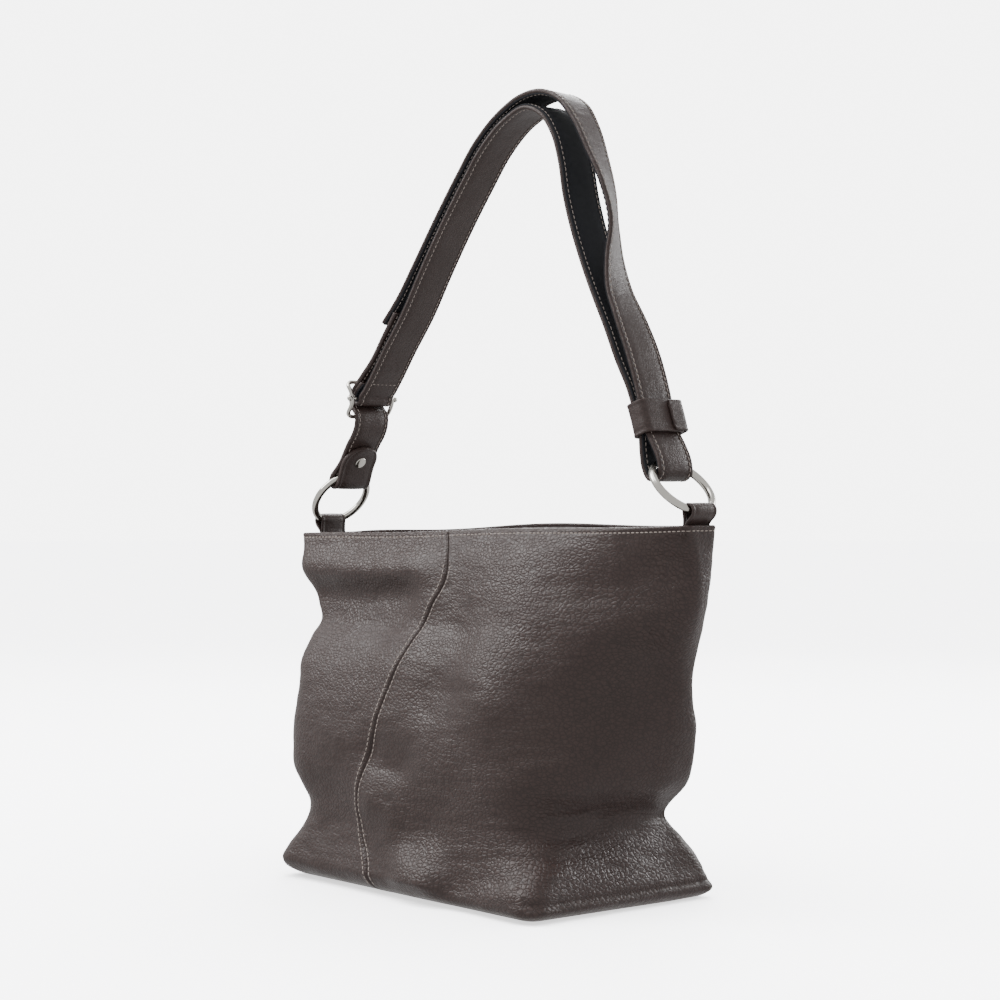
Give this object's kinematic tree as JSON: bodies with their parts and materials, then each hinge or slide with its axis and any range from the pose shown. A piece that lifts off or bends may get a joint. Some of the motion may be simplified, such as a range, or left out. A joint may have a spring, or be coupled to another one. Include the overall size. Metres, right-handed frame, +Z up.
{
  "type": "hobo bag",
  "caption": "Slouchy pebbled-leather hobo bag with a doubled adjustable shoulder strap on metal rings, a strap keeper, an open top and an inner zipped pocket.",
  "frame": {"origin": "on the floor, under the middle of the base", "axes": "+X along the rim to the keeper's ring, -Y to the front with the curved seam, +Z up"},
  "size_m": [0.3858, 0.1636, 0.5341],
  "materials": {
    "leather": "pebbled grain",
    "facing": "satin",
    "lining": "plain weave",
    "strap_backing": "matt, ribbed",
    "zip_tape": "herringbone",
    "zip_metal": "polished",
    "nickel": "polished nickel"
  },
  "bodies": {
    "bag": {"left_panel": "leather", "right_panel": "leather", "lining_front": "lining", "lining_back": "lining", "facing_front": "facing", "facing_back": "facing", "left_ring_tab": "leather", "right_ring_tab": "leather", "magnet_stud": "nickel", "magnet_socket": "nickel", "pocket_bag": "lining", "pocket_binding": "facing", "pocket_zip_tape": "zip_tape", "pocket_zip_teeth": "zip_metal", "pocket_zip_stops": "zip_metal"},
    "left_ring": {"left_ring": "nickel"},
    "right_ring": {"right_ring": "nickel"},
    "strap": {"long_strap": "leather", "strap_backing": "strap_backing", "short_strap": "leather", "strap_rivet": "nickel", "buckle_pin": "nickel", "keeper_band": "leather", "snap_stud": "nickel"},
    "buckle": {"buckle_frame": "nickel"},
    "keeper_flap": {"keeper_flap": "leather", "snap_cap": "nickel"},
    "pocket_slider": {"pocket_zip_slider": "zip_metal"},
    "pocket_puller": {"pocket_zip_puller": "zip_metal"}
  },
  "joints": [
    {"name": "left_ring_turn", "type": "hinge", "parent": "strap", "child": "left_ring", "pos_m": [-0.173, 0, 0.264], "axis": [-0.7771, 0, 0.6293], "continuous": true},
    {"name": "right_ring_turn", "type": "hinge", "parent": "strap", "child": "right_ring", "pos_m": [0.173, 0, 0.2712], "axis": [-0.7071, 0, -0.7071], "continuous": true},
    {"name": "strap_swing", "type": "hinge", "parent": "bag", "child": "strap", "pos_m": [-0.173, 0, 0.264], "axis": [0.9998, 0, 0.0208], "range_deg": [-20, 20]},
    {"name": "buckle_rock", "type": "hinge", "parent": "strap", "child": "buckle", "pos_m": [-0.136, 0, 0.336], "axis": [0, 1, 0], "range_deg": [-4, 4]},
    {"name": "keeper_open", "type": "hinge", "parent": "strap", "child": "keeper_flap", "pos_m": [0.15675, 0.0182, 0.31643], "axis": [0.3201, 0, -0.9474], "range_deg": [0, 120]},
    {"name": "pocket_unzip", "type": "slide", "parent": "bag", "child": "pocket_slider", "axis": [0.9993, -0.037, 0], "range_m": [0, 0.12]},
    {"name": "puller_swing", "type": "hinge", "parent": "pocket_slider", "child": "pocket_puller", "pos_m": [-0.06215, 0.0171, 0.196], "axis": [-0.9993, 0.037, 0], "range_deg": [0, 150]}
  ]
}
